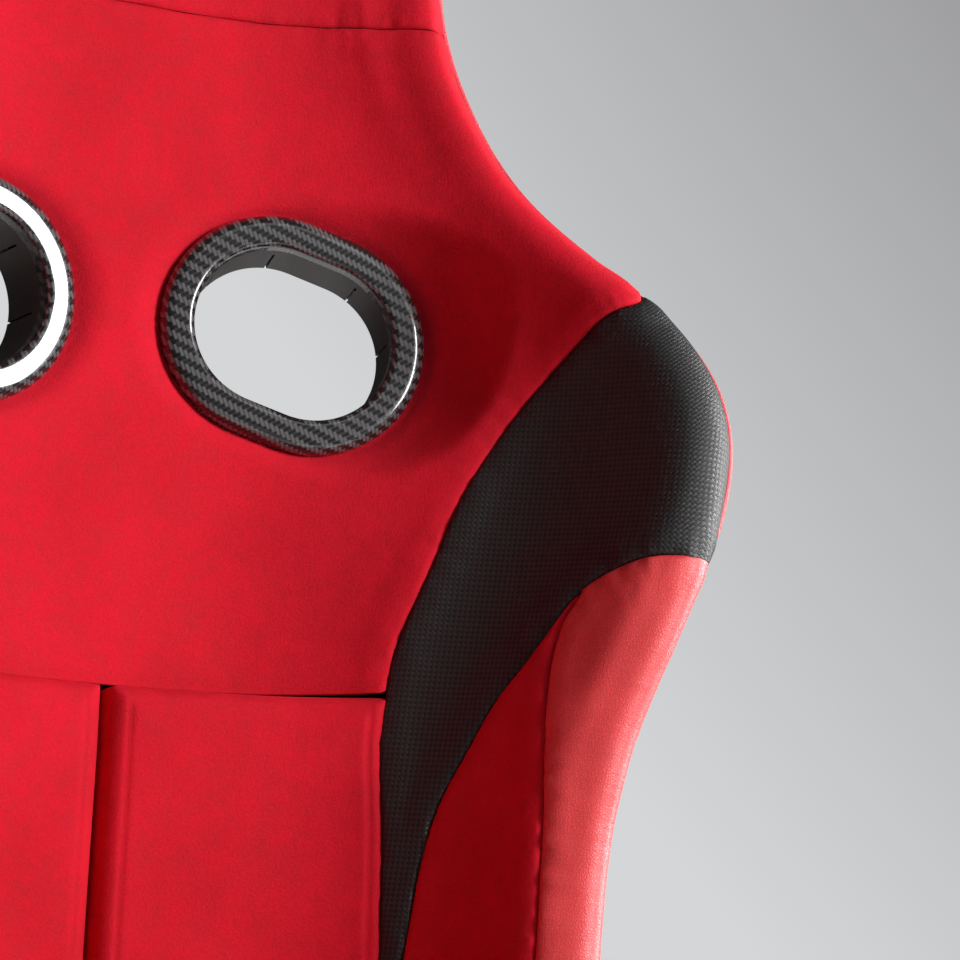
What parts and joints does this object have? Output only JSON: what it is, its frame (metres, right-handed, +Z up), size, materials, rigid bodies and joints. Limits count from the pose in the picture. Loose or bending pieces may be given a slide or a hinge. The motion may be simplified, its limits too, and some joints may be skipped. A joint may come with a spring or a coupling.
{
  "type": "racing bucket seat",
  "caption": "Fixed-back bucket seat with padded shell, harness openings and side mounts on slide rails with a release bar.",
  "frame": {"origin": "centre of the four floor bolts, on the floor", "axes": "+Z up, the seat faces -Y, +X across the seat"},
  "size_m": [0.5392, 0.6568, 0.955],
  "materials": {
    "shell_finish": "satin moulded laminate",
    "red_cloth": "short pile",
    "carbon_cloth": "coated basket weave",
    "red_leather": "fine grain",
    "red_piping": "smooth",
    "foam": "cut foam",
    "liner": "felt",
    "bezel_twill": "glossy twill",
    "black_plastic": "fine texture",
    "black_steel": "powder coat",
    "zinc_steel": "zinc plate",
    "bolt_steel": "black zinc",
    "boss_alloy": "turned",
    "ball_steel": "ground",
    "cage_plastic": "plain",
    "grip_rubber": "soft"
  },
  "bodies": {
    "rails": {"lower_rail_left": "zinc_steel", "lower_rail_right": "zinc_steel", "rail_feet_left": "zinc_steel", "rail_feet_right": "zinc_steel"},
    "seat": {"back_cover": "red_cloth", "back_foam": "foam", "base_liner": "liner", "bolster_foam_left": "foam", "bolster_foam_right": "foam", "crotch_grommet": "black_plastic", "edge_trim_left": "red_piping", "edge_trim_right": "red_piping", "harness_bezel_left": "bezel_twill", "harness_bezel_right": "bezel_twill", "harness_ring_left": "black_plastic", "harness_ring_right": "black_plastic", "harness_sleeve_left": "black_plastic", "harness_sleeve_right": "black_plastic", "head_cover": "red_cloth", "head_foam": "foam", "hip_cover_left": "red_cloth", "hip_cover_right": "red_cloth", "hip_foam_left": "foam", "hip_foam_right": "foam", "lap_grommet_left": "black_plastic", "lap_grommet_right": "black_plastic", "latch_rod_left": "zinc_steel", "latch_rod_right": "zinc_steel", "latch_spring_left": "zinc_steel", "latch_spring_right": "zinc_steel", "lumbar_pad_left": "red_cloth", "lumbar_pad_right": "red_cloth", "mount_boss_left": "boss_alloy", "mount_boss_right": "boss_alloy", "rail_bolts": "bolt_steel", "seat_cushion": "red_cloth", "seat_shell": "shell_finish", "shoulder_panel_left": "carbon_cloth", "shoulder_panel_right": "carbon_cloth", "side_bolts": "bolt_steel", "side_bracket_left": "black_steel", "side_bracket_right": "black_steel", "side_patch_left": "red_leather", "side_patch_right": "red_leather", "side_washers": "bolt_steel", "thigh_cushion": "red_cloth", "upper_rail_left": "black_steel", "upper_rail_right": "black_steel", "waist_panel_left": "red_cloth", "waist_panel_right": "red_cloth"},
    "release_bar": {"release_bar": "black_steel", "bar_grip": "grip_rubber"},
    "comb_left": {"latch_comb_left": "zinc_steel"},
    "comb_right": {"latch_comb_right": "zinc_steel"},
    "cage_left": {"ball_cage_left": "cage_plastic", "rail_balls_left": "ball_steel"},
    "cage_right": {"ball_cage_right": "cage_plastic", "rail_balls_right": "ball_steel"}
  },
  "joints": [
    {"name": "seat_slide", "type": "slide", "parent": "rails", "child": "seat", "axis": [0, -1, 0], "range_m": [-0.09, 0.09]},
    {"name": "release_lift", "type": "hinge", "parent": "seat", "child": "release_bar", "pos_m": [0, -0.1, 0.03], "axis": [-1, 0, 0], "range_deg": [0, 12], "stiffness_Nm_per_rad": 1.5, "springref_deg": -14.32},
    {"name": "comb_turn_left", "type": "hinge", "parent": "seat", "child": "comb_left", "pos_m": [-0.1575, 0.04, 0.034], "axis": [0, -1, 0], "range_deg": [0, 12]},
    {"name": "comb_turn_right", "type": "hinge", "parent": "seat", "child": "comb_right", "pos_m": [0.1575, 0.04, 0.034], "axis": [0, 1, 0], "range_deg": [0, 12]},
    {"name": "cage_slide_left", "type": "slide", "parent": "rails", "child": "cage_left", "axis": [0, -1, 0], "range_m": [-0.045, 0.045]},
    {"name": "cage_slide_right", "type": "slide", "parent": "rails", "child": "cage_right", "axis": [0, -1, 0], "range_m": [-0.045, 0.045]}
  ],
  "couplings": [
    {"joint": "comb_turn_left", "follows": "release_lift", "ratio": 1},
    {"joint": "comb_turn_right", "follows": "release_lift", "ratio": 1},
    {"joint": "cage_slide_left", "follows": "seat_slide", "ratio": 0.5},
    {"joint": "cage_slide_right", "follows": "seat_slide", "ratio": 0.5}
  ]
}
